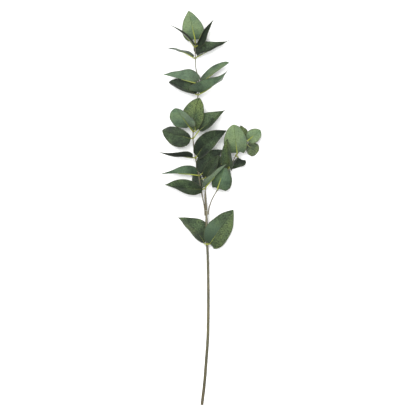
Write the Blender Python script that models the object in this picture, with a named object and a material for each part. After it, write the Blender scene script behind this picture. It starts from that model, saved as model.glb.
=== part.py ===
"""Artificial eucalyptus spray, cut off its bush and laid down on a table.

Metres, +Z up. The spray lies along Y with its cut end at -Y. The origin is the middle of
its bounding box seen from above, at the height of the surface that it lies on.
"""

import math

import bmesh
import bpy
from mathutils import Vector

# Driving dimensions, in millimetres
MM = 0.001
MAIN_STEM_FOOT_RADIUS = 2.7
MAIN_STEM_TOP_RADIUS = 2.2
SHORT_SHOOT_FOOT_RADIUS = 2.1
SHORT_SHOOT_TIP_RADIUS = 0.9
SHEATH_SHARE = 0.3
SHEATH_TAPER = 0.25
TALL_SHOOT_FOOT_RADIUS = 1.15
TALL_SHOOT_TIP_RADIUS = 0.9
SIDE_SHOOT_FOOT_RADIUS = 1.1
SIDE_SHOOT_TIP_RADIUS = 0.85
BLADE_THICKNESS = 0.6
GAP = 0.3
BLADE_SETBACK = 0.8
COLLAR_LENGTH = 3.6
COLLAR_WALL = 0.8
RIB_FOOT_RADIUS = 0.95
RIB_TIP_RADIUS = 0.4

# Stem routes, in millimetres, from the lower end up
STEM_ROUTES = {
    "main_stem": [(-13, -360, 2.8), (-8.3, -320, 3.3), (-5.2, -280, 4.8), (-2.2, -235, 7.6),
                  (-1.4, -190, 11), (-1.4, -145, 15), (-2, -100, 19.5), (-3.4, -66, 22.5),
                  (-4.4, -30, 26), (-4.8, -5, 28)],
    "short_shoot_stem": [(-4.9, -4.4, 28.1), (-6, 8, 29), (-6.6, 20, 29.8), (-6.8, 32, 30.8),
                         (-6.6, 45, 32), (-7, 56, 33.5), (-8.5, 66, 35)],
    "tall_shoot_stem": [(-7.4, -14, 29.3), (-7.8, -4, 30.4), (-9.6, 9, 31.6), (-12.6, 23.5, 32.5),
                        (-15, 36, 33), (-18.4, 58, 33.5), (-24.5, 90, 34.5), (-28, 112, 36),
                        (-29, 135, 37), (-26, 168, 37.5), (-20.5, 200, 37), (-18.6, 226, 36),
                        (-21.5, 243, 35), (-24.2, 257, 34), (-25, 280, 32.5), (-25.2, 300, 31)],
    "side_shoot_stem": [(-1.4, -12, 27.7), (0, -1, 28.8), (4, 12, 30), (9.4, 23, 31.6),
                        (17, 35.5, 33.6), (25.5, 52, 36), (33, 66, 38), (40, 78, 39.5),
                        (46, 90, 40), (52, 99, 39), (59.5, 109, 37), (66, 118, 35)],
}

# Leaf pairs: the stem that each pair's collar is threaded on, and its place along Y (mm)
PAIRS = {
    "low": ("main_stem", -66),
    "tall_1": ("tall_shoot_stem", 59),
    "tall_2": ("tall_shoot_stem", 91),
    "tall_3": ("tall_shoot_stem", 127),
    "tall_4": ("tall_shoot_stem", 139),
    "tall_5": ("tall_shoot_stem", 206),
    "tall_6": ("tall_shoot_stem", 225.5),
    "tall_7": ("tall_shoot_stem", 273),
    "tall_8": ("tall_shoot_stem", 293),
    "tall_tip": ("tall_shoot_stem", 299.5),
    "short_1": ("short_shoot_stem", 35),
    "short_2": ("short_shoot_stem", 54),
    "side_1": ("side_shoot_stem", 34),
    "side_2": ("side_shoot_stem", 72.5),
    "side_3": ("side_shoot_stem", 95),
    "side_4": ("side_shoot_stem", 116),
}

# Leaves. Each one has its pair, the face that looks up, the place of its base and tip (mm),
# its full width, and what shapes it. In degrees: roll turns it about its midrib at the base
# and the tip, lift raises its left and right halves, and curl bends them across. In
# millimetres: bow arches the midrib out of the blade, sweep bends it sideways, and lobe sets
# each half back beside the base. The powers set where it is widest. Rib is the share of the
# blade that its rib runs along.
LEAF_DEFAULTS = {"roll": (0, 0), "lift": (0, 0), "curl": (0, 0), "bow": 0, "sweep": 0,
                 "base_power": 0.5, "tip_power": 0.9, "lobe": (3, 3), "rib": 0.45}


def leaf(pair, face, base, tip, width, **shape):
    return {**LEAF_DEFAULTS, "pair": pair, "face": face, "base": base, "tip": tip,
            "width": width, **shape}


LEAVES = {
    "leaf_low_left": leaf("low", "upper", (-8, -64, 19), (-56, -18, 0.5), 50, roll=(-30, -25),
                          lift=(42, 10), sweep=5, bow=4, tip_power=1.1),
    "leaf_low_right": leaf("low", "upper", (1, -66, 28.5), (44, -4, 22), 52, roll=(-30, -30),
                           lift=(15, 0), curl=(-45, 0), bow=4, base_power=0.45, lobe=(4, 6)),
    "leaf_tall_1_left": leaf("tall_1", "under", (-21.5, 60, 37), (-92, 61, 28), 38,
                             roll=(20, 20), lift=(-95, -52), sweep=2, tip_power=1.8, rib=0.5),
    "leaf_tall_1_right": leaf("tall_1", "upper", (-14, 61, 34.5), (24, 105, 16), 50,
                              roll=(0, -20), lift=(5, -45), curl=(0, -20), bow=3),
    "leaf_tall_2_left": leaf("tall_2", "upper", (-28.5, 91.5, 33), (-94, 104, 20), 40,
                             roll=(-20, 15), lift=(75, 75), sweep=-2, tip_power=1.8),
    "leaf_tall_2_right": leaf("tall_2", "upper", (-22.5, 93.5, 41), (31, 140, 42), 48,
                              roll=(20, 20), lift=(65, 5), curl=(0, 50), sweep=-7),
    "leaf_tall_3_left": leaf("tall_3", "upper", (-32, 126, 34), (-85, 141, 0.5), 44,
                             lift=(10, 55), bow=3),
    "leaf_tall_3_right": leaf("tall_3", "upper", (-18, 141, 38), (29, 178, 34), 44,
                              lift=(5, 35), curl=(0, 70), tip_power=1.4),
    "leaf_tall_4_back": leaf("tall_4", "upper", (-24.5, 141, 45), (-18, 199.5, 46), 42,
                             roll=(20, 20), lift=(20, 15), sweep=-5, base_power=0.8,
                             tip_power=0.8),
    "leaf_tall_4_front": leaf("tall_4", "under", (-35, 147, 48), (-60, 180, 90), 46,
                              roll=(33, 33), lift=(10, 22), bow=5, base_power=0.6,
                              tip_power=0.5, rib=0.6),
    "leaf_tall_5_left": leaf("tall_5", "upper", (-22.5, 207, 34), (-73, 230, 0.5), 44,
                             roll=(-25, -25), lift=(52, 25), bow=3),
    "leaf_tall_5_right": leaf("tall_5", "under", (-16, 208, 48), (28, 240, 104), 58,
                              roll=(-50, -50), lift=(-15, -38), sweep=3, lobe=(13, 5),
                              base_power=0.4, tip_power=1.25),
    "leaf_tall_6_left": leaf("tall_6", "under", (-22, 227, 41), (-85, 243, 42), 42,
                             roll=(50, 50), lift=(-70, -55), tip_power=1.4, lobe=(3, 8)),
    "leaf_tall_6_right": leaf("tall_6", "under", (-15, 228, 39), (36, 263, 50), 42,
                              roll=(-15, -15), lift=(-68, -80), tip_power=0.6),
    "leaf_tall_7_left": leaf("tall_7", "under", (-27.5, 274, 30), (-88, 289, 28), 36,
                             roll=(72, 85), lift=(-12, 3), sweep=5.5, tip_power=1.2),
    "leaf_tall_7_right": leaf("tall_7", "upper", (-21.5, 276, 27.5), (35.5, 305, 20), 44,
                              roll=(45, 20), lift=(40, 50), tip_power=1.8, lobe=(4, 3)),
    "leaf_tall_8_left": leaf("tall_8", "upper", (-27.5, 295, 36), (-72, 333, 38), 28,
                             lift=(95, 72), sweep=3.5, tip_power=1.2),
    "leaf_tall_8_right": leaf("tall_8", "upper", (-21.5, 295.5, 38), (11, 344, 38), 38,
                              roll=(-25, -25), lift=(65, 75), sweep=-5, tip_power=1.5),
    "leaf_tall_tip": leaf("tall_tip", "under", (-25.5, 307, 34.5), (-37, 360, 0.5), 41,
                          lift=(-15, -15), bow=4, base_power=0.4, lobe=(4, 4)),
    "leaf_short_1_left": leaf("short_1", "upper", (-10.5, 34, 39), (-82, 42, 16), 42,
                              roll=(10, -50), lift=(52, 52), sweep=-2, base_power=0.6,
                              tip_power=1.2),
    "leaf_short_1_right": leaf("short_1", "under", (-7, 38, 43), (31, 79, 72), 38,
                               roll=(-75, -75), lift=(-15, -20)),
    "leaf_short_2_right": leaf("short_2", "upper", (-6, 56, 42), (17, 95.5, 44), 46,
                               lift=(62, 65)),
    "leaf_short_2_left": leaf("short_2", "upper", (-12, 53, 28), (-30, 46, 2), 34,
                              lift=(10, 10)),
    "leaf_side_1_front": leaf("side_1", "under", (15.5, 34.5, 43), (29, 77, 50), 46,
                              roll=(10, 0), lift=(-44, -35), lobe=(5, 3), base_power=0.3),
    "leaf_side_1_back": leaf("side_1", "under", (21, 38, 27), (36, 75, 0.7), 42,
                             roll=(-10, -10), lift=(-25, -25), lobe=(0, 0)),
    "leaf_side_2_front": leaf("side_2", "upper", (37, 75.5, 47), (33, 124.5, 70), 38,
                              roll=(20, 20), lift=(60, 52), lobe=(3, 9)),
    "leaf_side_2_left": leaf("side_2", "upper", (32, 75, 30), (6, 88, 30), 34, lift=(10, -30)),
    "leaf_side_3_front": leaf("side_3", "under", (51, 100, 46), (44.5, 150, 78), 45,
                              lift=(-15, -25), bow=4, base_power=0.35, lobe=(3, 9)),
    "leaf_side_3_back": leaf("side_3", "upper", (53, 92, 32), (42, 71, 0.5), 36, lift=(10, 70),
                             base_power=0.25, tip_power=1.3, lobe=(9, 0)),
    "leaf_side_4_right": leaf("side_4", "under", (70.5, 122.5, 45), (93, 141, 34), 26,
                              lift=(-10, -10), tip_power=0.6),
    "leaf_side_4_low": leaf("side_4", "upper", (69.5, 115, 31), (88, 101, 0.5), 25,
                            lift=(10, 10), tip_power=0.5),
    "leaf_side_tip": leaf("side_4", "upper", (65.5, 123, 27), (58, 150, 8), 20, lift=(20, 20)),
}

# Where the points of a blade and of a rib are put, as fractions of its length and half width
BLADE_ROWS = (0, 0.03, 0.1, 0.2, 0.33, 0.48, 0.64, 0.79, 0.91, 1)
BLADE_COLUMNS = (-1, -0.55, 0, 0.55, 1)
RIB_ROWS = (-0.07, 0.05, 0.2, 0.4, 0.7, 1)
BLADE_END_WIDTH = 1.6
STEM_STEP = 12
STEM_SIDES = 8
TWIG_SIDES = 6


def direction_frame(leaf):
    """Unit vectors along the leaf, across it to the right, and out of it towards the top."""
    base, tip = Vector(leaf["base"]), Vector(leaf["tip"])
    along = (tip - base).normalized()
    across = along.cross(Vector((0, 0, 1))).normalized()
    return along, across, across.cross(along)


def leaf_frame(leaf, s):
    """Midrib point and rolled axes of a leaf at the fraction s of its length."""
    base, tip = Vector(leaf["base"]), Vector(leaf["tip"])
    along, across, facing = direction_frame(leaf)
    arch = 4 * s * (1 - s)
    base += along * BLADE_SETBACK
    middle = base.lerp(tip, s) + facing * leaf["bow"] * arch + across * leaf["sweep"] * arch
    roll = math.radians(leaf["roll"][0] + (leaf["roll"][1] - leaf["roll"][0]) * s)
    right = across * math.cos(roll) + facing * math.sin(roll)
    out = facing * math.cos(roll) - across * math.sin(roll)
    return middle, along, right, out


def half_width(leaf, s):
    a, b = leaf["base_power"], leaf["tip_power"]
    widest = a / (a + b)
    shape = (s / widest) ** a * ((1 - s) / (1 - widest)) ** b
    return max(leaf["width"] / 2 * shape, BLADE_END_WIDTH / 2)


def blade_point(leaf, s, q):
    """Point of the blade's middle surface; q runs from -1 at the left edge to 1."""
    middle, along, right, out = leaf_frame(leaf, s)
    side = 1 if q > 0 else 0
    lift = math.radians(leaf["lift"][side])
    curl = math.radians(leaf["curl"][side]) * abs(q)
    reach = half_width(leaf, s) * abs(q)
    if abs(curl) > 1e-4:
        sideways = reach / curl * (math.sin(lift + curl) - math.sin(lift))
        upwards = reach / curl * (math.cos(lift) - math.cos(lift + curl))
    else:
        sideways, upwards = reach * math.cos(lift), reach * math.sin(lift)
    back = leaf["lobe"][side] * q * q * (1 - s) ** 3 * min(1, s / BLADE_ROWS[1])
    return middle + right * sideways * (1 if q > 0 else -1) + out * upwards - along * back


def material(name, colour, roughness):
    surface = bpy.data.materials.new(name)
    surface.use_nodes = True
    shader = surface.node_tree.nodes["Principled BSDF"]
    shader.inputs["Base Color"].default_value = (*colour, 1)
    shader.inputs["Roughness"].default_value = roughness
    shader.inputs["Metallic"].default_value = 0
    return surface


def add_object(name, shape, surface):
    """Put a bmesh, drawn in millimetres, into the scene as an object in metres."""
    bmesh.ops.scale(shape, vec=(MM, MM, MM), verts=shape.verts)
    mesh = bpy.data.meshes.new(name)
    shape.to_mesh(mesh)
    shape.free()
    mesh.materials.append(surface)
    mesh.shade_smooth()
    mesh.set_sharp_from_angle(angle=math.radians(50))
    thing = bpy.data.objects.new(name, mesh)
    bpy.context.scene.collection.objects.link(thing)
    return thing


def tube(points, radii, sides, carry=False):
    """Closed tube along a list of points, with flat ends. Carry keeps a bent tube untwisted."""
    shape = bmesh.new()
    rings = []
    side = None
    for i, point in enumerate(points):
        tangent = (points[min(i + 1, len(points) - 1)] - points[max(i - 1, 0)]).normalized()
        if carry and side:
            side = side - tangent * side.dot(tangent)
        else:
            side = tangent.cross(Vector((0, 0, 1)))
            if side.length < 0.2:
                side = tangent.cross(Vector((0, 1, 0)))
        side.normalize()
        top = side.cross(tangent)
        ring = []
        for k in range(sides):
            turn = math.tau * (k + 0.5) / sides
            offset = side * math.cos(turn) + top * math.sin(turn)
            ring.append(shape.verts.new(point + offset * radii[i]))
        rings.append(ring)
    for low, high in zip(rings, rings[1:]):
        for k in range(sides):
            n = (k + 1) % sides
            shape.faces.new((low[k], low[n], high[n], high[k]))
    shape.faces.new(reversed(rings[0]))
    shape.faces.new(rings[-1])
    bmesh.ops.recalc_face_normals(shape, faces=shape.faces)
    return shape


def smooth_route(route, step):
    """Points about a step apart on the smooth curve through the route's own points."""
    knots = [Vector(point) for point in route]
    knots = [2 * knots[0] - knots[1]] + knots + [2 * knots[-1] - knots[-2]]
    points = []
    for a, b, c, d in zip(knots, knots[1:], knots[2:], knots[3:]):
        count = max(1, round((c - b).length / step))
        for i in range(count):
            t = i / count
            points.append(0.5 * (2 * b + (c - a) * t + (2 * a - 5 * b + 4 * c - d) * t * t
                                 + (3 * b - a - 3 * c + d) * t ** 3))
    points.append(knots[-2])
    return points


def stem_radius(name, t):
    """Radius of a stem at the fraction t of its length."""
    if name == "main_stem":
        return MAIN_STEM_FOOT_RADIUS + (MAIN_STEM_TOP_RADIUS - MAIN_STEM_FOOT_RADIUS) * t
    if name == "short_shoot_stem":
        narrowing = min(1, max(0, (t - SHEATH_SHARE) / SHEATH_TAPER))
        ease = narrowing * narrowing * (3 - 2 * narrowing)
        return SHORT_SHOOT_FOOT_RADIUS + (SHORT_SHOOT_TIP_RADIUS - SHORT_SHOOT_FOOT_RADIUS) * ease
    foot, end = {"tall_shoot_stem": (TALL_SHOOT_FOOT_RADIUS, TALL_SHOOT_TIP_RADIUS),
                 "side_shoot_stem": (SIDE_SHOOT_FOOT_RADIUS, SIDE_SHOOT_TIP_RADIUS)}[name]
    return foot + (end - foot) * t


def stem_line(name):
    points = smooth_route(STEM_ROUTES[name], STEM_STEP)
    radii = [stem_radius(name, i / (len(points) - 1)) for i in range(len(points))]
    return points, radii


def place_on_stem(name, y):
    """Point, direction and radius of a stem where it passes the height y."""
    points, radii = stem_line(name)
    for i in range(len(points) - 1):
        low, high = points[i], points[i + 1]
        if low.y <= y <= high.y or i == len(points) - 2:
            t = (y - low.y) / (high.y - low.y)
            radius = radii[i] + (radii[i + 1] - radii[i]) * t
            return low.lerp(high, t), (high - low).normalized(), radius


def build_stem(name, surface, sides):
    points, radii = stem_line(name)
    return add_object(name, tube(points, radii, sides), surface)


def build_blade(name, leaf, surface):
    shape = bmesh.new()
    grid = [[shape.verts.new(blade_point(leaf, s, q)) for q in BLADE_COLUMNS] for s in BLADE_ROWS]
    for low, high in zip(grid, grid[1:]):
        for k in range(len(low) - 1):
            shape.faces.new((low[k], low[k + 1], high[k + 1], high[k]))
    blade = add_object(name, shape, surface)
    thick = blade.modifiers.new("cloth thickness", "SOLIDIFY")
    thick.thickness = BLADE_THICKNESS * MM
    thick.offset = 0
    return blade


def rib_line(leaf):
    """Route of a leaf's rib: from its collar out along the blade's underside."""
    stem_name, y = PAIRS[leaf["pair"]]
    centre, direction, stem_r = place_on_stem(stem_name, y)
    side = 1 if leaf["face"] == "under" else -1
    left, right_lift = leaf["lift"]
    fold = math.radians(right_lift - left) / 2
    opening = math.radians(min(90, 90 - side * (left + right_lift) / 2))
    points, radii = [], []
    for t in RIB_ROWS:
        radius = RIB_FOOT_RADIUS + (RIB_TIP_RADIUS - RIB_FOOT_RADIUS) * max(t, 0)
        middle, along, right, out = leaf_frame(leaf, t * leaf["rib"])
        facing = out * math.cos(fold) - right * math.sin(fold)
        clearance = (BLADE_THICKNESS / 2 + GAP + radius) / math.sin(opening)
        points.append(middle + facing * side * clearance)
        radii.append(radius)
    outward = points[0] - centre
    outward -= direction * outward.dot(direction)
    start = centre + outward.normalized() * (stem_r + GAP + COLLAR_WALL / 2)
    return [start] + points, [RIB_FOOT_RADIUS] + radii


def hide_cutter(thing):
    thing.hide_render = True
    thing.display_type = "WIRE"


def add_boolean(thing, other, operation):
    cut = thing.modifiers.new(operation.lower(), "BOOLEAN")
    cut.operation = operation
    cut.solver = "MANIFOLD"
    cut.object = other
    hide_cutter(other)


def build_ribs(pair, surface):
    """Collar threaded on the stem, joined with the ribs of the leaves that it carries."""
    stem_name, y = PAIRS[pair]
    centre, direction, stem_r = place_on_stem(stem_name, y)
    ends = [centre - direction * COLLAR_LENGTH / 2, centre + direction * COLLAR_LENGTH / 2]
    outer = stem_r + GAP + COLLAR_WALL
    collar = add_object(f"ribs_{pair}", tube(ends, [outer, outer], STEM_SIDES), surface)
    for name, leaf in LEAVES.items():
        if leaf["pair"] == pair:
            points, radii = rib_line(leaf)
            rib = add_object(f"shape_of_rib_{name}", tube(points, radii, TWIG_SIDES, True), surface)
            add_boolean(collar, rib, "UNION")
    sides = STEM_SIDES if stem_name == "main_stem" else TWIG_SIDES
    long_ends = [centre - direction * COLLAR_LENGTH, centre + direction * COLLAR_LENGTH]
    bore = tube(long_ends, [stem_r + GAP, stem_r + GAP], sides)
    add_boolean(collar, add_object(f"bore_{pair}", bore, surface), "DIFFERENCE")


for thing in list(bpy.data.objects):
    bpy.data.objects.remove(thing)

bark = material("brown_green_plastic", (0.13, 0.11, 0.06), 0.5)
twig = material("grey_brown_plastic", (0.28, 0.25, 0.17), 0.5)
rib_green = material("yellow_green_plastic", (0.30, 0.38, 0.05), 0.35)
cloth = material("leaf_cloth", (0.10, 0.16, 0.07), 0.7)

build_stem("main_stem", bark, STEM_SIDES)
build_stem("short_shoot_stem", twig, STEM_SIDES)
build_stem("tall_shoot_stem", twig, TWIG_SIDES)
build_stem("side_shoot_stem", twig, TWIG_SIDES)
for name, leaf in LEAVES.items():
    build_blade(name, leaf, cloth)
for pair in PAIRS:
    build_ribs(pair, rib_green)
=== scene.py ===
# An artificial eucalyptus spray, cut off its bush and laid on a pale table top. Cloth leaves
# sit in pairs on moulded green ribs, and the ribs' collars are threaded on covered wire.
import math
import random

import bpy
import numpy as np
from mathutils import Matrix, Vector, noise


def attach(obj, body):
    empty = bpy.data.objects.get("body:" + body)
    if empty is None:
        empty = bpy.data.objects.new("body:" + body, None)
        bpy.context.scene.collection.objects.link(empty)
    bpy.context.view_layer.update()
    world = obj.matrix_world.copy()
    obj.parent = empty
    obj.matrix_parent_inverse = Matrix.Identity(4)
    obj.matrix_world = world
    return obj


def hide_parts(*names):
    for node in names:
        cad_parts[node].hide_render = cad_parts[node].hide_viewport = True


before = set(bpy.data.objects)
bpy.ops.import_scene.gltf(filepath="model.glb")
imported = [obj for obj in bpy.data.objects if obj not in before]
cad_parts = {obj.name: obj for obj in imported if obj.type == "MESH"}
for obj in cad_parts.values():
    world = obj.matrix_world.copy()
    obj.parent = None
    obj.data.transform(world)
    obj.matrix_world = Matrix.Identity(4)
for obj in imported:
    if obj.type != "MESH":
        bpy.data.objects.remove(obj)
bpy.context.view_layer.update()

# Main stem: 5 mm steel wire in a moulded brown-green plastic cover, bare for half its length.
# The cover has fine lengthwise bark lines and was snipped square with pliers at the foot.
MM = 0.001
STEM_ROUTE = [(-13, -360, 2.8), (-8.3, -320, 3.3), (-5.2, -280, 4.8), (-2.2, -235, 7.6),
              (-1.4, -190, 11), (-1.4, -145, 15), (-2, -100, 19.5), (-3.4, -66, 22.5),
              (-4.4, -30, 26), (-4.8, -5, 28)]
STEM_FOOT_RADIUS = 2.7
STEM_TOP_RADIUS = 2.2


def smooth_route(route, step):
    """Points about a step apart on the smooth curve through the route's own points."""
    knots = [Vector(point) for point in route]
    knots = [2 * knots[0] - knots[1]] + knots + [2 * knots[-1] - knots[-2]]
    points = []
    for a, b, c, d in zip(knots, knots[1:], knots[2:], knots[3:]):
        count = max(1, round((c - b).length / step))
        for i in range(count):
            t = i / count
            points.append(0.5 * (2 * b + (c - a) * t + (2 * a - 5 * b + 4 * c - d) * t * t
                                 + (3 * b - a - 3 * c + d) * t ** 3))
    points.append(knots[-2])
    return points


def draw_wire(name, points, radii, sides):
    """Round wire with a radius of its own at each point, as a mesh with closed ends."""
    bpy.ops.object.select_all(action="DESELECT")
    bpy.ops.curve.primitive_nurbs_path_add()
    wire = bpy.context.object
    wire.name = name
    curve = wire.data
    curve.splines.clear()
    line = curve.splines.new("POLY")
    line.points.add(len(points) - 1)
    for place, point, radius in zip(line.points, points, radii):
        place.co = (*(Vector(point) * MM), 1)
        place.radius = radius
    curve.dimensions = "3D"
    curve.twist_mode = "MINIMUM"
    curve.bevel_depth = MM
    curve.bevel_resolution = sides // 4 - 1
    curve.use_fill_caps = True
    bpy.ops.object.convert(target="MESH")
    wire = bpy.context.object
    bpy.ops.object.transform_apply(location=True, rotation=True, scale=True)
    bpy.ops.object.mode_set(mode="EDIT")
    bpy.ops.mesh.select_all(action="SELECT")
    bpy.ops.mesh.remove_doubles(threshold=0.00001)
    bpy.ops.mesh.normals_make_consistent(inside=False)
    bpy.ops.object.mode_set(mode="OBJECT")
    bpy.ops.object.shade_smooth_by_angle(angle=math.radians(50))
    return wire


def roughen(piece, depth, size, stretch):
    """Move the skin of a wire in and out by a little, in patches drawn out along Y."""
    for vertex in piece.data.vertices:
        place = vertex.co / (size * MM)
        place.y /= stretch
        vertex.co += vertex.normal * noise.noise(place) * depth * MM


def new_material(name, roughness):
    surface = bpy.data.materials.new(name)
    surface.use_nodes = True
    nodes, links = surface.node_tree.nodes, surface.node_tree.links
    shader = nodes["Principled BSDF"]
    shader.inputs["Roughness"].default_value = roughness
    return surface, nodes, links, shader


def ramp(nodes, links, source, stops):
    """Colour ramp that a grey value runs through."""
    node = nodes.new("ShaderNodeValToRGB")
    bar = node.color_ramp
    bar.elements[0].position, bar.elements[0].color = stops[0][0], (*stops[0][1], 1)
    bar.elements[1].position, bar.elements[1].color = stops[-1][0], (*stops[-1][1], 1)
    for place, colour in stops[1:-1]:
        stop = bar.elements.new(place)
        stop.color = (*colour, 1)
    links.new(source, node.inputs["Fac"])
    return node.outputs["Color"]


def grain(nodes, links, scale, stretch, detail):
    """Noise on object coordinates, drawn out along Y. Scale is patches per metre."""
    place = nodes.new("ShaderNodeTexCoord")
    turn = nodes.new("ShaderNodeMapping")
    turn.inputs["Scale"].default_value = (1, 1 / stretch, 1)
    links.new(place.outputs["Object"], turn.inputs["Vector"])
    patches = nodes.new("ShaderNodeTexNoise")
    patches.inputs["Scale"].default_value = scale
    patches.inputs["Detail"].default_value = detail
    links.new(turn.outputs["Vector"], patches.inputs["Vector"])
    return patches.outputs["Fac"]


def mix_colours(nodes, links, share, first, second, way="MIX"):
    """Blend two colours, each a socket or plain numbers, by a share that is either too."""
    node = nodes.new("ShaderNodeMix")
    node.data_type = "RGBA"
    node.blend_type = way
    for socket, value in ((node.inputs[0], share), (node.inputs[6], first),
                          (node.inputs[7], second)):
        if isinstance(value, bpy.types.NodeSocket):
            links.new(value, socket)
        elif isinstance(value, tuple):
            socket.default_value = (*value, 1)
        else:
            socket.default_value = value
    return node.outputs[2]


def raise_bumps(nodes, links, shader, height, strength, distance):
    bump = nodes.new("ShaderNodeBump")
    bump.inputs["Strength"].default_value = strength
    bump.inputs["Distance"].default_value = distance * MM
    links.new(height, bump.inputs["Height"])
    links.new(bump.outputs["Normal"], shader.inputs["Normal"])


def along_y(nodes, links, low, high):
    """0 at one place along the spray and 1 at another, in metres along Y."""
    place = nodes.new("ShaderNodeTexCoord")
    parts = nodes.new("ShaderNodeSeparateXYZ")
    links.new(place.outputs["Object"], parts.inputs["Vector"])
    share = nodes.new("ShaderNodeMapRange")
    share.inputs["From Min"].default_value = low
    share.inputs["From Max"].default_value = high
    links.new(parts.outputs["Y"], share.inputs["Value"])
    return share.outputs["Result"]


def make_bark():
    """Moulded bark: olive-brown foot, greyer higher up, with darker and lighter lines."""
    surface, nodes, links, shader = new_material("moulded bark", 0.55)
    height = along_y(nodes, links, -0.36, 0.0)
    colour = ramp(nodes, links, height, [(0, (0.085, 0.06, 0.02)), (0.1, (0.052, 0.042, 0.01)),
                                         (0.38, (0.075, 0.068, 0.028)), (0.6, (0.1, 0.087, 0.05)),
                                         (0.78, (0.078, 0.073, 0.042)), (1, (0.15, 0.134, 0.09))])
    lines = grain(nodes, links, 900, 14, 4)
    patches = grain(nodes, links, 130, 4, 3)
    darker = ramp(nodes, links, lines, [(0.35, (0.55, 0.55, 0.5)), (0.65, (1.3, 1.3, 1.25))])
    colour = mix_colours(nodes, links, 1.0, colour, darker, "MULTIPLY")
    shade = ramp(nodes, links, patches, [(0.35, (0.75, 0.8, 0.7)), (0.65, (1.2, 1.15, 1.1))])
    colour = mix_colours(nodes, links, 1.0, colour, shade, "MULTIPLY")
    links.new(colour, shader.inputs["Base Color"])
    raise_bumps(nodes, links, shader, lines, 0.5, 0.5)
    return surface


def ease(t):
    t = min(1, max(0, t))
    return t * t * (3 - 2 * t)


stem_points = smooth_route(STEM_ROUTE, 2.5)
stem_radii = [STEM_FOOT_RADIUS + (STEM_TOP_RADIUS - STEM_FOOT_RADIUS) * i / (len(stem_points) - 1)
              for i in range(len(stem_points))]
main_stem = draw_wire("main_stem_cover", stem_points, stem_radii, 20)
roughen(main_stem, 0.22, 2.2, 5)
bark = make_bark()
main_stem.data.materials.append(bark)
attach(main_stem, "root")
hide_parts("main_stem")

# Shoot stems: three thinner wires in the same plastic, wired to the main stem at the fork.
# The short one keeps a thick brown sheath for the first third and then thins to a twig.
SHOOT_ROUTES = {
    "short_shoot_stem": [(-4.9, -4.4, 28.1), (-6, 8, 29), (-6.6, 20, 29.8), (-6.8, 32, 30.8),
                         (-6.6, 45, 32), (-7, 56, 33.5), (-8.5, 66, 35)],
    "tall_shoot_stem": [(-7.4, -14, 29.3), (-7.8, -4, 30.4), (-9.6, 9, 31.6), (-12.6, 23.5, 32.5),
                        (-15, 36, 33), (-18.4, 58, 33.5), (-24.5, 90, 34.5), (-28, 112, 36),
                        (-29, 135, 37), (-26, 168, 37.5), (-20.5, 200, 37), (-18.6, 226, 36),
                        (-21.5, 243, 35), (-24.2, 257, 34), (-25, 280, 32.5), (-25.2, 300, 31)],
    "side_shoot_stem": [(-1.4, -12, 27.7), (0, -1, 28.8), (4, 12, 30), (9.4, 23, 31.6),
                        (17, 35.5, 33.6), (25.5, 52, 36), (33, 66, 38), (40, 78, 39.5),
                        (46, 90, 40), (52, 99, 39), (59.5, 109, 37), (66, 118, 35)],
}
SHOOT_RADII = {"short_shoot_stem": (2.1, 0.9), "tall_shoot_stem": (1.15, 0.9),
               "side_shoot_stem": (1.1, 0.85)}
SHEATH_SHARE = 0.3
SHEATH_TAPER = 0.25


def shoot_radius(name, t):
    foot, end = SHOOT_RADII[name]
    if name == "short_shoot_stem":
        return foot + (end - foot) * ease((t - SHEATH_SHARE) / SHEATH_TAPER)
    return foot + (end - foot) * t


def make_twig_cover():
    """Grey-brown twig plastic, browner on the sheath near the fork."""
    surface, nodes, links, shader = new_material("twig cover", 0.5)
    height = along_y(nodes, links, -0.02, 0.3)
    colour = ramp(nodes, links, height, [(0, (0.13, 0.115, 0.075)), (0.08, (0.088, 0.073, 0.036)),
                                         (0.2, (0.09, 0.08, 0.045)), (1, (0.11, 0.105, 0.075))])
    lines = grain(nodes, links, 1100, 10, 3)
    darker = ramp(nodes, links, lines, [(0.35, (0.7, 0.7, 0.66)), (0.65, (1.2, 1.2, 1.2))])
    colour = mix_colours(nodes, links, 1.0, colour, darker, "MULTIPLY")
    links.new(colour, shader.inputs["Base Color"])
    raise_bumps(nodes, links, shader, lines, 0.4, 0.3)
    return surface


twig_cover = make_twig_cover()
shoot_lines = {}
for name, route in SHOOT_ROUTES.items():
    points = smooth_route(route, 2)
    radii = [shoot_radius(name, i / (len(points) - 1)) for i in range(len(points))]
    shoot_lines[name] = (points, radii)
    shoot = draw_wire(name.replace("_stem", "_wire"), points, radii, 16)
    roughen(shoot, 0.12, 1.6, 4)
    shoot.data.materials.append(twig_cover)
    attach(shoot, "root")
    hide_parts(name)
shoot_lines["main_stem"] = (stem_points, stem_radii)

# Leaf blades: stiffened polyester cloth, die-cut and hot-pressed so that the midrib and veins
# stand in it. Both sides are printed: olive above, and paler and bluer below.
# Each leaf's brightness value is partly the leaf's own tone and partly painted light and shade:
# leaves that sit under others or turn away are given darker values.
LEAF_DEFAULTS = {"roll": (0, 0), "lift": (0, 0), "curl": (0, 0), "bow": 0, "sweep": 0,
                 "base_power": 0.5, "tip_power": 0.9, "lobe": (3, 3), "rib": 0.45,
                 "wave": 1.2, "hook": (0, 0, 0), "tint": 0.5, "pale": 0}


def leaf(pair, face, base, tip, width, **shape):
    return {**LEAF_DEFAULTS, "pair": pair, "face": face, "base": base, "tip": tip,
            "width": width, **shape}


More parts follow.
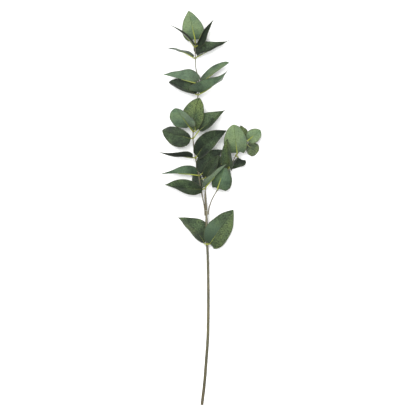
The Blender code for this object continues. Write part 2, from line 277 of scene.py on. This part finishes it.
LEAVES = {
    "low_left": leaf("low", "upper", (-8, -64, 19), (-56, -18, 0.5), 50, roll=(-30, -25),
                     lift=(42, 10), sweep=5, bow=4, tip_power=1.1, tint=0.5),
    # This leaf's left half is painted with a sheen near its base: a paler, bluer green.
    "low_right": leaf("low", "upper", (1, -66, 28.5), (44, -4, 22), 52, roll=(-30, -30),
                      lift=(15, 0), curl=(-45, 0), bow=4, base_power=0.45, lobe=(4, 6),
                      tint=0.55, pale=0.8),
    "tall_1_left": leaf("tall_1", "under", (-21.5, 60, 37), (-92, 61, 28), 38,
                        roll=(20, 20), lift=(-95, -52), sweep=2, tip_power=1.8, rib=0.5,
                        tint=0.25),
    "tall_1_right": leaf("tall_1", "upper", (-14, 61, 34.5), (24, 105, 16), 50,
                         roll=(0, -20), lift=(5, -45), curl=(0, -20), bow=3, tint=0.2),
    "tall_2_left": leaf("tall_2", "upper", (-28.5, 91.5, 33), (-94, 104, 20), 40,
                        roll=(-20, 15), lift=(75, 75), sweep=-2, tip_power=1.8, tint=0.25,
                        hook=(-3, -2, 4)),
    "tall_2_right": leaf("tall_2", "upper", (-22.5, 93.5, 41), (31, 140, 42), 48,
                         roll=(20, 20), lift=(65, 5), curl=(0, 50), sweep=-7, tint=0.25),
    "tall_3_left": leaf("tall_3", "upper", (-32, 126, 34), (-85, 141, 0.5), 44,
                        lift=(10, 55), bow=3, tint=0.35),
    "tall_3_right": leaf("tall_3", "upper", (-18, 141, 38), (29, 178, 34), 44,
                         lift=(5, 35), curl=(0, 70), tip_power=1.4, tint=0.5),
    "tall_4_back": leaf("tall_4", "upper", (-24.5, 141, 45), (-18, 199.5, 46), 42,
                        roll=(20, 20), lift=(20, 15), sweep=-5, base_power=0.8,
                        tip_power=0.8, tint=0.75),
    "tall_4_front": leaf("tall_4", "under", (-35, 147, 48), (-60, 180, 90), 46,
                         roll=(33, 33), lift=(10, 22), bow=5, base_power=0.6,
                         tip_power=0.5, rib=0.6, tint=0.55),
    "tall_5_left": leaf("tall_5", "upper", (-22.5, 207, 34), (-73, 230, 0.5), 44,
                        roll=(-25, -25), lift=(52, 25), bow=3, tint=0.15),
    "tall_5_right": leaf("tall_5", "under", (-16, 208, 48), (28, 240, 104), 58,
                         roll=(-50, -50), lift=(-15, -38), sweep=3, lobe=(13, 5),
                         base_power=0.4, tip_power=1.25, tint=0.5,
                         hook=(5, 7, 4)),
    "tall_6_left": leaf("tall_6", "under", (-22, 227, 41), (-85, 243, 42), 42,
                        roll=(50, 50), lift=(-70, -55), tip_power=1.4, lobe=(3, 8), tint=0.4),
    "tall_6_right": leaf("tall_6", "under", (-15, 228, 39), (36, 263, 50), 42,
                         roll=(-15, -15), lift=(-68, -80), tip_power=0.6, tint=0.55),
    "tall_7_left": leaf("tall_7", "under", (-27.5, 274, 30), (-88, 289, 28), 36,
                        roll=(72, 85), lift=(-12, 3), sweep=5.5, tip_power=1.2, tint=0.35),
    "tall_7_right": leaf("tall_7", "upper", (-21.5, 276, 27.5), (35.5, 305, 20), 44,
                         roll=(45, 20), lift=(40, 50), tip_power=1.8, lobe=(4, 3), tint=0.25),
    "tall_8_left": leaf("tall_8", "upper", (-27.5, 295, 36), (-72, 333, 38), 28,
                        lift=(95, 72), sweep=3.5, tip_power=1.2, tint=0.25),
    "tall_8_right": leaf("tall_8", "upper", (-21.5, 295.5, 38), (11, 344, 38), 38,
                         roll=(-25, -25), lift=(65, 75), sweep=-5, tip_power=1.5, tint=0.15),
    "tall_tip": leaf("tall_tip", "under", (-25.5, 307, 34.5), (-37, 360, 0.5), 41,
                     lift=(-15, -15), bow=4, base_power=0.4, lobe=(4, 4), tint=0.62),
    "short_1_left": leaf("short_1", "upper", (-10.5, 34, 39), (-82, 42, 16), 42,
                         roll=(10, -50), lift=(52, 52), sweep=-2, base_power=0.6,
                         tip_power=1.2, tint=0.4),
    "short_1_right": leaf("short_1", "under", (-7, 38, 43), (31, 79, 72), 38,
                          roll=(-75, -75), lift=(-15, -20), tint=0.65),
    "short_2_right": leaf("short_2", "upper", (-6, 56, 42), (17, 95.5, 44), 46,
                          lift=(62, 65), tint=0.45),
    "short_2_left": leaf("short_2", "upper", (-12, 53, 28), (-30, 46, 2), 34,
                         lift=(10, 10), tint=0.1),
    "side_1_front": leaf("side_1", "under", (15.5, 34.5, 43), (29, 77, 50), 46,
                         roll=(10, 0), lift=(-44, -35), lobe=(5, 3), base_power=0.3, tint=0.5),
    "side_1_back": leaf("side_1", "under", (21, 38, 27), (36, 75, 0.7), 42,
                        roll=(-10, -10), lift=(-25, -25), lobe=(0, 0), tint=0.45),
    "side_2_front": leaf("side_2", "upper", (37, 75.5, 47), (33, 124.5, 70), 38,
                         roll=(20, 20), lift=(60, 52), lobe=(3, 9), tint=0.5),
    "side_2_left": leaf("side_2", "upper", (32, 75, 30), (6, 88, 30), 34, lift=(10, -30),
                        tint=0.35),
    "side_3_front": leaf("side_3", "under", (51, 100, 46), (44.5, 150, 78), 45,
                         lift=(-15, -25), bow=4, base_power=0.35, lobe=(3, 9), tip_power=0.65,
                         tint=0.85),
    "side_3_back": leaf("side_3", "upper", (53, 92, 32), (42, 71, 0.5), 36, lift=(10, 70),
                        base_power=0.25, tip_power=1.3, lobe=(9, 0), tint=0.1),
    "side_4_right": leaf("side_4", "under", (70.5, 122.5, 45), (93, 141, 34), 26,
                         lift=(-10, -10), tip_power=0.6, tint=0.85),
    "side_4_low": leaf("side_4", "upper", (69.5, 115, 31), (88, 101, 0.5), 25,
                       lift=(10, 10), tip_power=0.5, tint=0.7),
    "side_tip": leaf("side_4", "upper", (65.5, 123, 27), (58, 150, 8), 20, lift=(20, 20),
                     tint=0.65),
}
BLADE_ROWS = 72
BLADE_COLUMNS = 40
BLADE_THICKNESS = 0.5
BLADE_SETBACK = 0.8
BLADE_END_WIDTH = 1.4
VEIN_SPACING = 4.6
VEIN_HEIGHT = 0.25


def direction_frame(leaf):
    """Unit vectors along the leaf, across it to the right, and out of it towards the top."""
    base, tip = Vector(leaf["base"]), Vector(leaf["tip"])
    along = (tip - base).normalized()
    across = along.cross(Vector((0, 0, 1))).normalized()
    return along, across, across.cross(along)


def leaf_frame(leaf, s):
    """Midrib points and rolled axes of a leaf at the fractions s of its length."""
    base, tip = np.array(leaf["base"], float), np.array(leaf["tip"], float)
    along, across, facing = (np.array(axis) for axis in direction_frame(leaf))
    s = np.asarray(s, float)[..., None]
    arch = 4 * s * (1 - s)
    middle = (base + along * BLADE_SETBACK + (tip - base) * s + facing * leaf["bow"] * arch
              + across * leaf["sweep"] * arch + np.array(leaf["hook"]) * np.clip(s, 0, 1) ** 7)
    roll = np.radians(leaf["roll"][0] + (leaf["roll"][1] - leaf["roll"][0]) * s)
    right = across * np.cos(roll) + facing * np.sin(roll)
    out = facing * np.cos(roll) - across * np.sin(roll)
    return middle, along, right, out


def half_width(leaf, s):
    a, b = leaf["base_power"], leaf["tip_power"]
    widest = a / (a + b)
    s = np.clip(s, 0, 1)
    shape = (s / widest) ** a * ((1 - s) / (1 - widest)) ** b
    return np.maximum(leaf["width"] / 2 * shape, BLADE_END_WIDTH / 2)


def blade_points(leaf, s, q, luck):
    """Points of the blade's middle surface, and each one's distances in millimetres: out
    from the midrib, up along it, and in from the margin. Q runs from -1 on the left to 1."""
    middle, along, right, out = leaf_frame(leaf, s)
    side = (q > 0).astype(int)
    lift = np.radians(np.array(leaf["lift"], float))[side]
    curl = np.radians(np.array(leaf["curl"], float))[side] * np.abs(q)
    curl = np.where(np.abs(curl) < 1e-4, 1e-4, curl)
    margin = half_width(leaf, s)
    reach = margin * np.abs(q)
    sideways = reach / curl * (np.sin(lift + curl) - np.sin(lift)) * np.where(q > 0, 1, -1)
    upwards = reach / curl * (np.cos(lift) - np.cos(lift + curl))
    back = (np.array(leaf["lobe"], float)[side] * q * q * (1 - s) ** 3
            * np.minimum(1, s / 0.03))
    length = (Vector(leaf["tip"]) - Vector(leaf["base"])).length
    climb = s * length
    phase = np.array([luck.uniform(0, 6.28), luck.uniform(0, 6.28)])[side]
    turns = np.array([luck.uniform(1.3, 2.4), luck.uniform(1.3, 2.4)])[side]
    upwards += leaf["wave"] * q * q * np.sin(phase + turns * 6.28 * s) * np.minimum(1, 4 * (1 - s))
    place = (climb - reach * 0.75 + 0.12 * reach * reach / 10) / VEIN_SPACING + phase
    vein = np.clip(1 - np.abs(place - np.round(place)) * VEIN_SPACING / 0.75, 0, 1)
    fade = np.clip((margin - reach) / 3, 0, 1) * np.clip(reach / 2, 0, 1)
    upwards -= VEIN_HEIGHT * vein * fade
    upwards -= 0.3 * np.exp(-(reach / 0.8) ** 2) * np.clip(4 * (1 - s), 0, 1)
    points = (middle + right * sideways[..., None] + out * upwards[..., None]
              - along * back[..., None])
    return points, reach, climb, margin - reach


def press_blade(name, leaf):
    """Cut a flat grid to the leaf's outline, press it to shape and give it its thickness."""
    bpy.ops.object.select_all(action="DESELECT")
    bpy.ops.mesh.primitive_grid_add(x_subdivisions=BLADE_COLUMNS, y_subdivisions=BLADE_ROWS,
                                    size=2, calc_uvs=True)
    blade = bpy.context.object
    blade.name = name
    mesh = blade.data
    flat = np.empty(len(mesh.vertices) * 3)
    mesh.vertices.foreach_get("co", flat)
    flat = flat.reshape(-1, 3)
    q = np.sin(flat[:, 0] * math.pi / 2) * 0.35 + flat[:, 0] * 0.65
    s = (1 - np.cos((flat[:, 1] + 1) / 2 * math.pi)) / 2 * 0.7 + (flat[:, 1] + 1) / 2 * 0.3
    luck = random.Random(name)
    points, reach, climb, inward = blade_points(leaf, s, q, luck)
    mesh.vertices.foreach_set("co", (points * MM).ravel())
    # The last value paints a sheen: a paler, bluer green on the left half of the blade near its
    # base.
    values = {"reach": reach * np.sign(q), "climb": climb, "inward": inward,
              "tint": np.full(len(s), leaf["tint"]), "share": s,
              "pale": leaf["pale"] * (q < 0) * np.clip((0.6 - s) / 0.2, 0, 1)}
    for label, numbers in values.items():
        layer = mesh.attributes.new(label, "FLOAT", "POINT")
        layer.data.foreach_set("value", numbers.astype(np.float32))
    for surface in ((cloth_below, cloth_above) if leaf["face"] == "under"
                    else (cloth_above, cloth_below)):
        mesh.materials.append(surface)
    mesh.materials.append(cut_edge)
    thick = blade.modifiers.new("cloth thickness", "SOLIDIFY")
    thick.thickness = BLADE_THICKNESS * MM
    thick.offset = 0
    thick.material_offset = 1
    thick.material_offset_rim = 2
    bpy.ops.object.modifier_apply(modifier=thick.name)
    bpy.ops.object.shade_smooth_by_angle(angle=math.radians(40))
    return blade


def attribute(nodes, name):
    node = nodes.new("ShaderNodeAttribute")
    node.attribute_name = name
    return node.outputs["Fac"]


def maths(nodes, links, way, first, second=0.0, third=0.0):
    node = nodes.new("ShaderNodeMath")
    node.operation = way
    for socket, value in zip(node.inputs, (first, second, third)):
        if isinstance(value, bpy.types.NodeSocket):
            links.new(value, socket)
        else:
            socket.default_value = value
    return node.outputs["Value"]


def vein_print(nodes, links):
    """Grey picture of the printed veins: 1 on the midrib and less on the side veins."""
    reach = maths(nodes, links, "ABSOLUTE", attribute(nodes, "reach"))
    climb = attribute(nodes, "climb")
    slant = maths(nodes, links, "MULTIPLY_ADD", reach, -0.75, climb)
    bend = maths(nodes, links, "MULTIPLY", reach, reach)
    slant = maths(nodes, links, "MULTIPLY_ADD", bend, 0.012, slant)
    wander = grain(nodes, links, 90, 1, 2)
    slant = maths(nodes, links, "MULTIPLY_ADD", wander, 3.0, slant)
    beat = maths(nodes, links, "PINGPONG", slant, VEIN_SPACING / 2)
    line = maths(nodes, links, "MULTIPLY_ADD", beat, -1 / 0.55, 1.0)
    line = maths(nodes, links, "MAXIMUM", line, 0.0)
    return reach, line


def weave(nodes, links):
    """Height of the cloth's crossing threads, half a millimetre apart."""
    place = nodes.new("ShaderNodeCombineXYZ")
    links.new(attribute(nodes, "reach"), place.inputs["X"])
    links.new(attribute(nodes, "climb"), place.inputs["Y"])
    heights = []
    for direction in ("X", "Y"):
        threads = nodes.new("ShaderNodeTexWave")
        threads.bands_direction = direction
        threads.inputs["Scale"].default_value = 0.62
        threads.inputs["Distortion"].default_value = 0.6
        links.new(place.outputs["Vector"], threads.inputs["Vector"])
        heights.append(threads.outputs["Fac"])
    return maths(nodes, links, "MAXIMUM", *heights)


def make_cloth(name, dark, light, yellow, line_colour, speckle, roughness):
    """Printed cloth, from two greens that cloud into each other, with veins and a rim."""
    surface, nodes, links, shader = new_material(name, roughness)
    shader.inputs["Sheen Weight"].default_value = 0.05
    shader.inputs["Sheen Roughness"].default_value = 0.5
    shader.inputs["Specular IOR Level"].default_value = 0.3
    clouds = grain(nodes, links, 38, 1, 3)
    clouds = maths(nodes, links, "MULTIPLY_ADD", clouds, 1.5, -0.75)
    # The leaf's brightness value shifts its greens, partly as its own tone and partly as painted
    # light and shade.
    clouds = maths(nodes, links, "ADD", clouds, attribute(nodes, "tint"))
    colour = ramp(nodes, links, clouds, [(0.15, dark), (0.5, light), (0.9, yellow)])
    reach, line = vein_print(nodes, links)
    share = maths(nodes, links, "MULTIPLY", line, 0.38)
    colour = mix_colours(nodes, links, share, colour, line_colour)
    midrib = maths(nodes, links, "MULTIPLY_ADD", reach, -1 / 1.1, 1.0)
    midrib = maths(nodes, links, "MAXIMUM", midrib, 0.0)
    colour = mix_colours(nodes, links, maths(nodes, links, "MULTIPLY", midrib, 0.75), colour,
                         line_colour)
    dots = grain(nodes, links, 480, 1, 4)
    dots = ramp(nodes, links, dots, [(0.36, (1 - speckle,) * 3), (0.5, (1, 1, 1)),
                                     (0.66, (1 + speckle * 0.6,) * 3)])
    colour = mix_colours(nodes, links, 1.0, colour, dots, "MULTIPLY")
    # Painted sheen: mix towards a paler, bluer green where the sheen value asks for it.
    colour = mix_colours(nodes, links, attribute(nodes, "pale"), colour, (0.05, 0.088, 0.052))
    # Painted shade: each blade darkens towards its base, where the leaves crowd in at the stem.
    shade = ramp(nodes, links, attribute(nodes, "share"),
                 [(0, (0.3, 0.36, 0.3)), (0.38, (1, 1, 1)), (1, (1.1, 1.1, 1.1))])
    colour = mix_colours(nodes, links, 1.0, colour, shade, "MULTIPLY")
    rim = maths(nodes, links, "MULTIPLY_ADD", attribute(nodes, "inward"), -1 / 1.9, 1.0)
    rim = maths(nodes, links, "MAXIMUM", rim, 0.0)
    colour = mix_colours(nodes, links, maths(nodes, links, "MULTIPLY", rim, 0.8), colour,
                         (0.038, 0.044, 0.012))
    links.new(colour, shader.inputs["Base Color"])
    raise_bumps(nodes, links, shader, weave(nodes, links), 0.6, 0.15)
    return surface


cloth_above = make_cloth("printed cloth, upper side", (0.018, 0.030, 0.016), (0.052, 0.084, 0.036),
                         (0.105, 0.145, 0.045), (0.010, 0.014, 0.004), 0.7, 0.7)
cloth_below = make_cloth("printed cloth, underside", (0.030, 0.058, 0.033), (0.082, 0.136, 0.074),
                         (0.15, 0.21, 0.098), (0.06, 0.10, 0.03), 0.3, 0.5)
cut_edge, nodes, links, shader = new_material("cut edge of the cloth", 0.85)
threads = grain(nodes, links, 1500, 1, 2)
links.new(ramp(nodes, links, threads, [(0.3, (0.025, 0.032, 0.015)), (0.7, (0.06, 0.075, 0.04))]),
          shader.inputs["Base Color"])

for name, shape in LEAVES.items():
    blade = press_blade(f"blade_{name}", shape)
    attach(blade, "root")
    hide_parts(f"leaf_{name}")

# Ribs: for each pair, one moulding of yellow-green plastic. Its collar is threaded on the stem,
# and its tapered ribs are glued to the undersides of the blades to hold them out.
PAIRS = {
    "low": ("main_stem", -66), "tall_1": ("tall_shoot_stem", 59),
    "tall_2": ("tall_shoot_stem", 91), "tall_3": ("tall_shoot_stem", 127),
    "tall_4": ("tall_shoot_stem", 139), "tall_5": ("tall_shoot_stem", 206),
    "tall_6": ("tall_shoot_stem", 225.5), "tall_7": ("tall_shoot_stem", 273),
    "tall_8": ("tall_shoot_stem", 293), "tall_tip": ("tall_shoot_stem", 299.5),
    "short_1": ("short_shoot_stem", 35), "short_2": ("short_shoot_stem", 54),
    "side_1": ("side_shoot_stem", 34), "side_2": ("side_shoot_stem", 72.5),
    "side_3": ("side_shoot_stem", 95), "side_4": ("side_shoot_stem", 116),
}
COLLAR_LENGTH = 3.6
COLLAR_WALL = 0.75
RIB_FOOT_RADIUS = 1.1
RIB_TIP_RADIUS = 0.55
RIB_SINK = 0.45


def place_on_stem(name, y):
    """Point, direction and radius of a stem where it passes the height y."""
    points, radii = shoot_lines[name]
    for i in range(len(points) - 1):
        low, high = points[i], points[i + 1]
        if low.y <= y <= high.y or i == len(points) - 2:
            t = (y - low.y) / (high.y - low.y)
            radius = radii[i] + (radii[i + 1] - radii[i]) * t
            return low.lerp(high, t), (high - low).normalized(), radius


def rib_line(leaf):
    """Route of a leaf's rib, out of its collar and along the underside of the blade."""
    centre, direction, stem_r = place_on_stem(*PAIRS[leaf["pair"]])
    side = 1 if leaf["face"] == "under" else -1
    fold = math.radians(leaf["lift"][1] - leaf["lift"][0]) / 2
    points, radii = [], []
    for i in range(26):
        t = -0.05 + 1.05 * i / 25
        radius = RIB_FOOT_RADIUS + (RIB_TIP_RADIUS - RIB_FOOT_RADIUS) * max(t, 0)
        if t > 0.9:
            radius *= math.sqrt(max(0.02, (1 - t) / 0.1))
        middle, along, right, out = (Vector(row) for row in leaf_frame(leaf, t * leaf["rib"]))
        facing = out * math.cos(fold) - right * math.sin(fold)
        points.append(middle + facing * side * (BLADE_THICKNESS / 2 + radius * (1 - RIB_SINK)))
        radii.append(radius)
    outward = points[0] - centre
    outward -= direction * outward.dot(direction)
    start = centre + outward.normalized() * stem_r
    points = [start, start.lerp(points[0], 0.5)] + points
    return points, [RIB_FOOT_RADIUS, RIB_FOOT_RADIUS] + radii


def mould_collar(pair):
    """Short sleeve on the stem, a barrel that narrows to both ends."""
    centre, direction, stem_r = place_on_stem(*PAIRS[pair])
    points, radii = [], []
    for i in range(9):
        t = i / 8 * 2 - 1
        points.append(centre + direction * t * COLLAR_LENGTH / 2)
        radii.append(stem_r + 0.1 + (COLLAR_WALL - 0.1) * math.sqrt(max(0, 1 - t ** 4)))
    return draw_wire("collar", points, radii, 16)


def make_rib_plastic():
    """Yellow-green plastic, browner on the collar and fresher outwards."""
    surface, nodes, links, shader = new_material("rib plastic", 0.38)
    shader.inputs["Specular IOR Level"].default_value = 0.45
    colour = ramp(nodes, links, attribute(nodes, "out"), [(0, (0.07, 0.065, 0.02)),
                                                          (0.12, (0.22, 0.24, 0.02)),
                                                          (0.4, (0.27, 0.31, 0.035)),
                                                          (1, (0.16, 0.20, 0.045))])
    patches = grain(nodes, links, 400, 1, 2)
    shade = ramp(nodes, links, patches, [(0.3, (0.8, 0.82, 0.75)), (0.7, (1.12, 1.1, 1.1))])
    colour = mix_colours(nodes, links, 1.0, colour, shade, "MULTIPLY")
    links.new(colour, shader.inputs["Base Color"])
    raise_bumps(nodes, links, shader, patches, 0.2, 0.2)
    return surface


rib_plastic = make_rib_plastic()
for pair in PAIRS:
    collar = mould_collar(pair)
    centre = place_on_stem(*PAIRS[pair])[0] * MM
    ribs = [draw_wire(f"rib_{name}", *rib_line(shape), 12)
            for name, shape in LEAVES.items() if shape["pair"] == pair]
    for piece in [collar] + ribs:
        piece.select_set(True)
    bpy.context.view_layer.objects.active = collar
    bpy.ops.object.join()
    moulding = bpy.context.object
    moulding.name = f"moulded_ribs_{pair}"
    far = [(vertex.co - centre).length for vertex in moulding.data.vertices]
    layer = moulding.data.attributes.new("out", "FLOAT", "POINT")
    layer.data.foreach_set("value", [value / 0.03 for value in far])
    moulding.data.materials.append(rib_plastic)
    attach(moulding, "root")
    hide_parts(f"ribs_{pair}")

# Table top, light and camera: a white surface, a soft key lamp high up beyond the tip end and a
# broad one overhead, and a long lens that looks straight down on the spray.
bpy.ops.object.select_all(action="DESELECT")
bpy.ops.mesh.primitive_plane_add(size=14, location=(0, 0, -0.0008))
table = bpy.context.object
table.name = "table_top"
white, nodes, links, shader = new_material("white table top", 0.9)
shader.inputs["Base Color"].default_value = (0.96, 0.96, 0.96, 1)
shader.inputs["Specular IOR Level"].default_value = 0.1
table.data.materials.append(white)


def hang_lamp(name, place, size, power):
    lamp_data = bpy.data.lights.new(name, "AREA")
    lamp_data.shape = "DISK"
    lamp_data.size = size
    lamp_data.energy = power
    lamp = bpy.data.objects.new(name, lamp_data)
    bpy.context.scene.collection.objects.link(lamp)
    lamp.location = place
    lamp.rotation_euler = (-Vector(place)).to_track_quat("-Z", "Y").to_euler()


hang_lamp("key lamp", (-0.7, 1.2, 6.5), 2.2, 369)
hang_lamp("overhead lamp", (0.4, -0.6, 10.5), 5, 695)
world = bpy.data.worlds.new("studio")
world.use_nodes = True
world.node_tree.nodes["Background"].inputs["Color"].default_value = (1, 1, 1, 1)
world.node_tree.nodes["Background"].inputs["Strength"].default_value = 0.42
bpy.context.scene.world = world
bpy.context.scene.view_settings.view_transform = "Standard"

PIXEL = 1.82
CAMERA_HEIGHT = 8.0
MIDDLE_HEIGHT = 0.035
camera_data = bpy.data.cameras.new("camera")
camera = bpy.data.objects.new("camera", camera_data)
bpy.context.scene.collection.objects.link(camera)
camera.location = (-1.0 * PIXEL * MM, -0.1 * PIXEL * MM, CAMERA_HEIGHT)
camera_data.sensor_width = 36
camera_data.lens = 36 * (CAMERA_HEIGHT - MIDDLE_HEIGHT) / (416 * PIXEL * MM)
bpy.context.scene.camera = camera
